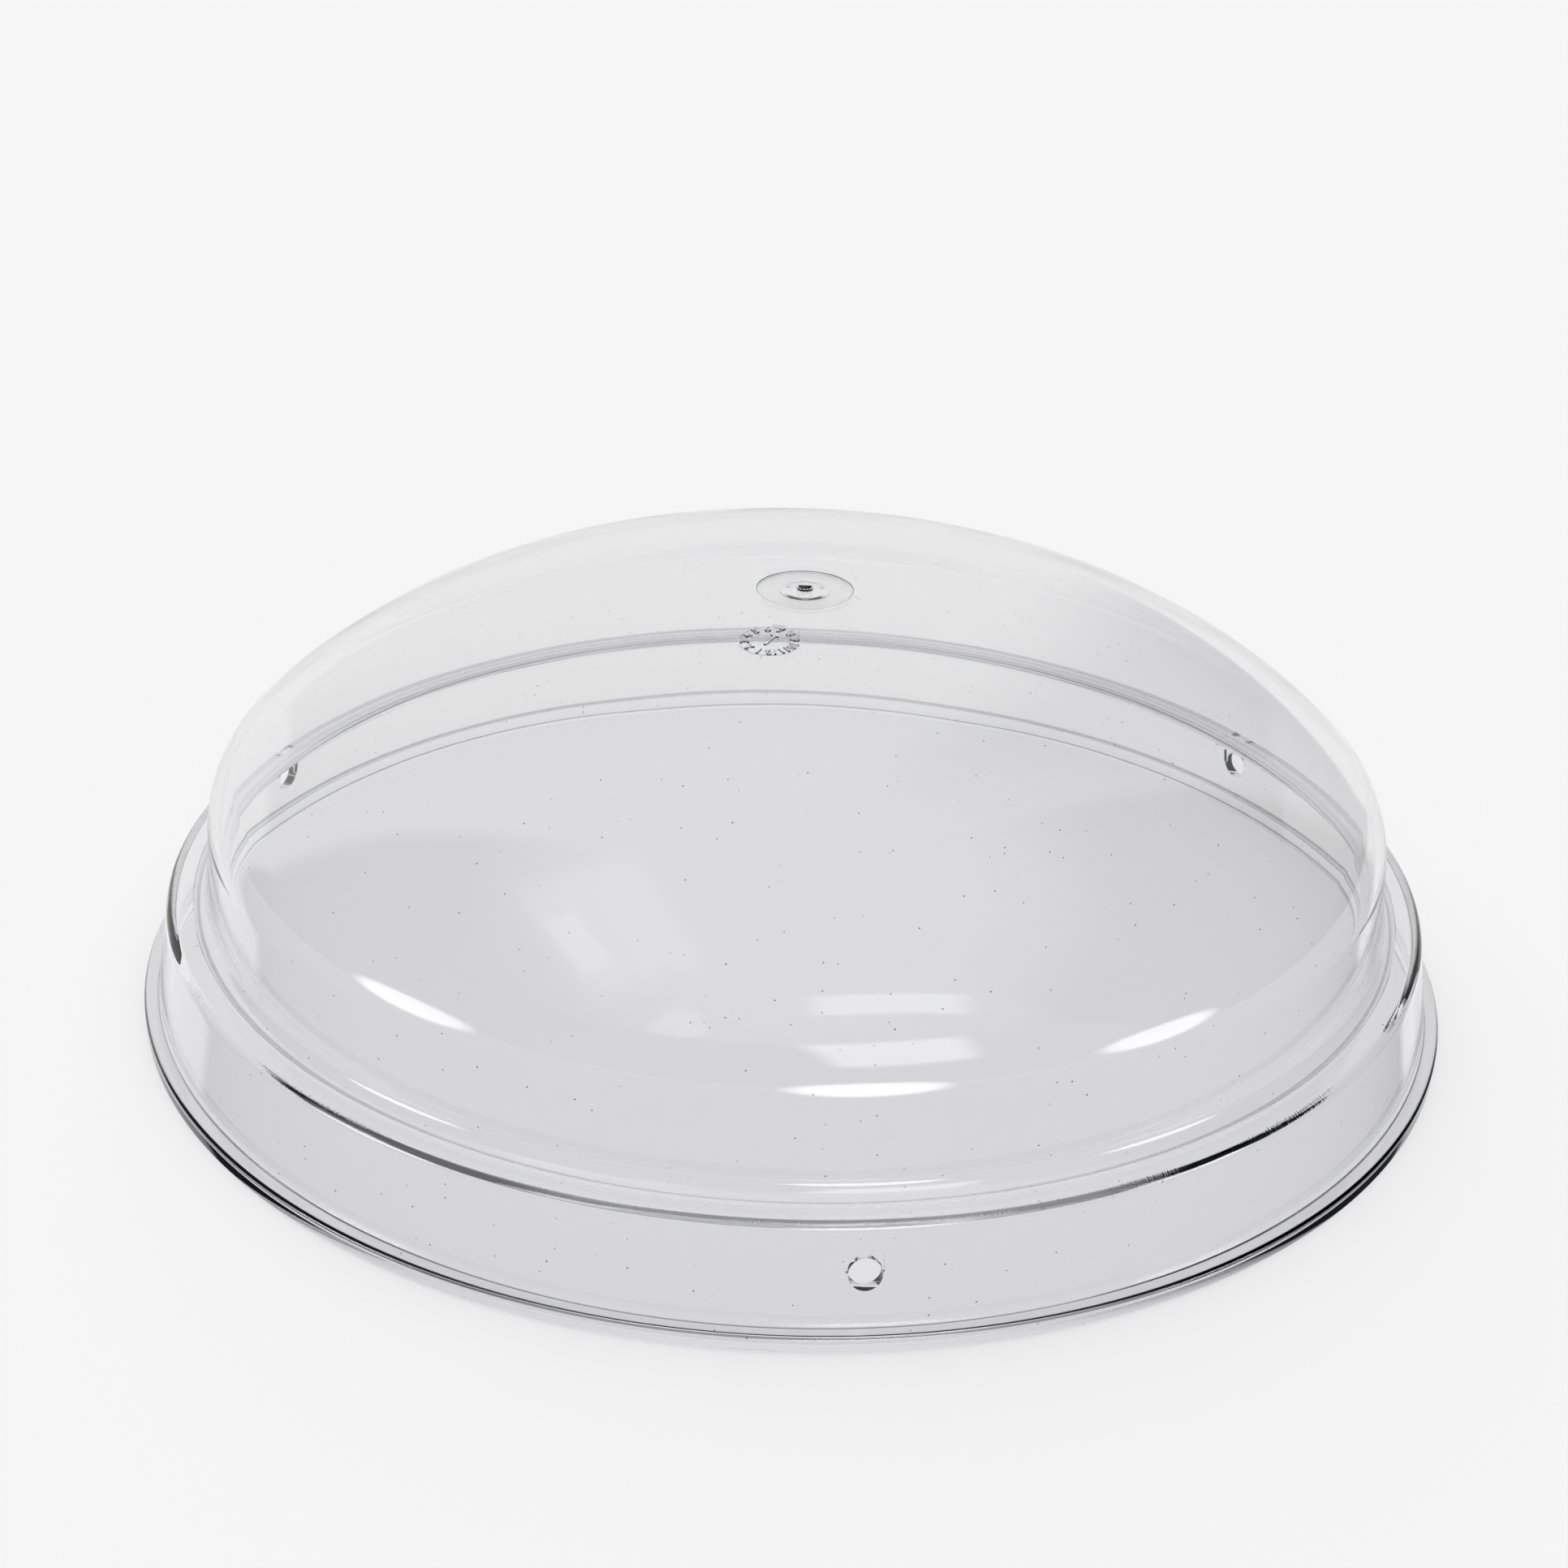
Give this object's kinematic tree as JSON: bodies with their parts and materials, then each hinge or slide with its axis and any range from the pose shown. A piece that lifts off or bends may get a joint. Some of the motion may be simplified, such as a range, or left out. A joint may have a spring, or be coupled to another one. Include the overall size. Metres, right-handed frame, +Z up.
{
  "type": "round clear dome cover",
  "caption": "Round clear plastic humidity dome: shallow domed cover that lifts off a skirted base ring with a flat ledge, side fixing holes and a pull-out crown vent plug.",
  "frame": {"origin": "centre of the rim's flat underside, on the axis of the dome", "axes": "+Z up along the dome's axis, -Y towards the front fixing hole, +X to the right of it"},
  "size_m": [0.28, 0.28, 0.0883],
  "materials": {
    "ring_plastic": "clear, glossy, moulded",
    "dome_plastic": "clear, glossy, moulded",
    "plug_plastic": "clear, glossy, moulded"
  },
  "bodies": {
    "ring": {"base_ring": "ring_plastic"},
    "dome": {"dome_cover": "dome_plastic"},
    "plug": {"vent_plug": "plug_plastic"}
  },
  "joints": [
    {"name": "dome_lift", "type": "slide", "parent": "ring", "child": "dome", "axis": [0, 0, 1], "range_m": [0, 0.06]},
    {"name": "plug_pull", "type": "slide", "parent": "dome", "child": "plug", "axis": [0, 0, 1], "range_m": [0, 0.012]}
  ]
}
